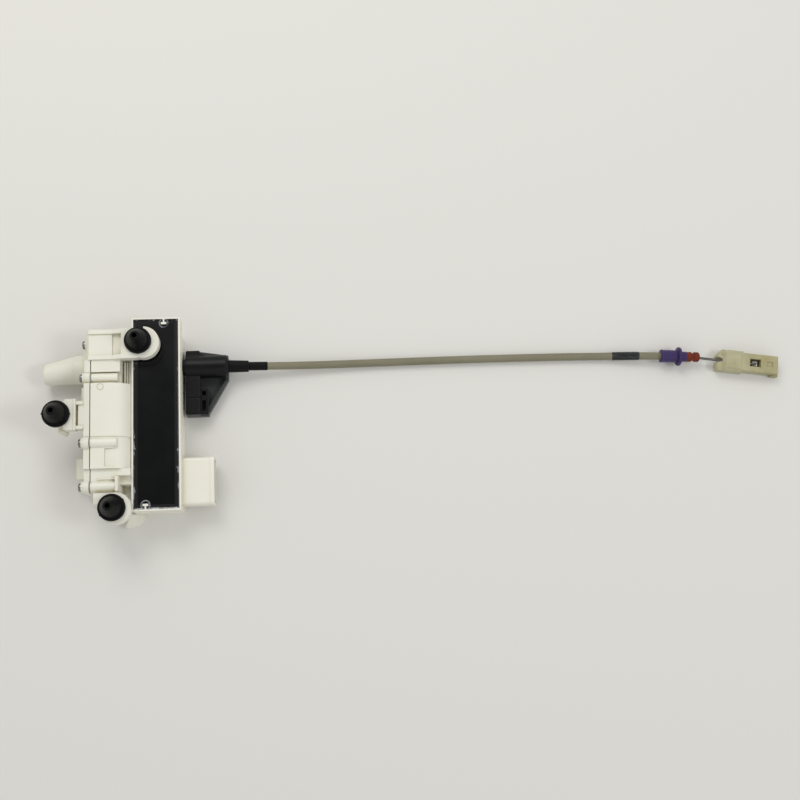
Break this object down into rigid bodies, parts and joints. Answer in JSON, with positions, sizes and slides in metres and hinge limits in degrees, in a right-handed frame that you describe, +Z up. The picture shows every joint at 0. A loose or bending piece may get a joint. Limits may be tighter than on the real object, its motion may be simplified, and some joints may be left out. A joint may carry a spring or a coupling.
{
  "type": "door latch actuator",
  "caption": "Motor-driven latch actuator with potted electronics tray, rubber mounting spigots, plug socket and a Bowden cable with ferrule and clip fitting.",
  "frame": {"origin": "under the middle of the drive (without its cable) on the surface it lies on", "axes": "+X along the cable, away from the drive; +Y along the motor, towards the gears; +Z up, the way the spigots point"},
  "size_m": [0.5017, 0.1358, 0.0516],
  "materials": {
    "housing_plastic": "moulded, satin",
    "tray_plastic": "moulded, satin",
    "potting": "glossy cast resin",
    "black_rubber": "matt",
    "black_plastic": "moulded, satin",
    "gasket_rubber": "matt",
    "conduit_plastic": "extruded, finely ribbed",
    "band_plastic": "satin",
    "purple_plastic": "moulded, satin",
    "red_rubber": "matt",
    "fitting_plastic": "moulded, slightly translucent",
    "steel": "bright",
    "zinc_steel": "zinc plated",
    "magnet": "dull",
    "copper": "lacquered wire and bars",
    "bronze": "sintered",
    "board": "lacquered laminate",
    "gear_plastic": "moulded, natural"
  },
  "bodies": {
    "housing": {"gear_housing": "housing_plastic", "housing_lid": "housing_plastic", "lid_gasket": "gasket_rubber", "lid_screws": "zinc_steel", "electronics_tray": "tray_plastic", "circuit_board": "board", "board_relays": "black_plastic", "connector_pins": "zinc_steel", "potting_fill": "potting", "mount_plug_top": "black_rubber", "mount_plug_left": "black_rubber", "mount_plug_bottom": "black_rubber", "cable_bracket": "black_plastic", "strain_relief": "black_rubber", "conduit_sleeve": "black_rubber", "cable_conduit": "conduit_plastic", "conduit_band": "band_plastic", "cable_ferrule": "purple_plastic", "wire_seal": "red_rubber", "motor_can": "zinc_steel", "motor_end_cap": "black_plastic", "motor_magnets": "magnet", "motor_bushes": "bronze", "motor_brushes": "copper", "wheel_bushes": "bronze"},
    "rotor": {"motor_shaft": "steel", "armature": "steel", "commutator": "copper", "worm": "steel"},
    "wheel": {"worm_wheel": "gear_plastic"},
    "spindle": {"lead_screw": "steel", "screw_crosshead": "gear_plastic", "cable_nipple": "zinc_steel", "core_stub": "steel"},
    "wire": {"pull_wire": "steel", "end_fitting": "fitting_plastic", "end_clip": "zinc_steel"}
  },
  "joints": [
    {"name": "motor_spin", "type": "hinge", "parent": "housing", "child": "rotor", "pos_m": [-0.014, 0, 0.02005], "axis": [0, 1, 0], "range_deg": [0, 16200]},
    {"name": "wheel_spin", "type": "hinge", "parent": "housing", "child": "wheel", "pos_m": [-0.014, 0.0375, 0.0097], "axis": [1, 0, 0], "range_deg": [0, 1080.5]},
    {"name": "screw_slide", "type": "slide", "parent": "housing", "child": "spindle", "axis": [-1, 0, 0], "range_m": [0, 0.00901]},
    {"name": "wire_slide", "type": "slide", "parent": "housing", "child": "wire", "axis": [-0.9903, 0.1392, 0], "range_m": [0, 0.00901]}
  ],
  "couplings": [
    {"joint": "wheel_spin", "follows": "motor_spin", "ratio": 0.066667},
    {"joint": "screw_slide", "follows": "motor_spin", "m_per_rad": 0.000031831},
    {"joint": "wire_slide", "follows": "motor_spin", "m_per_rad": 0.000031831}
  ]
}
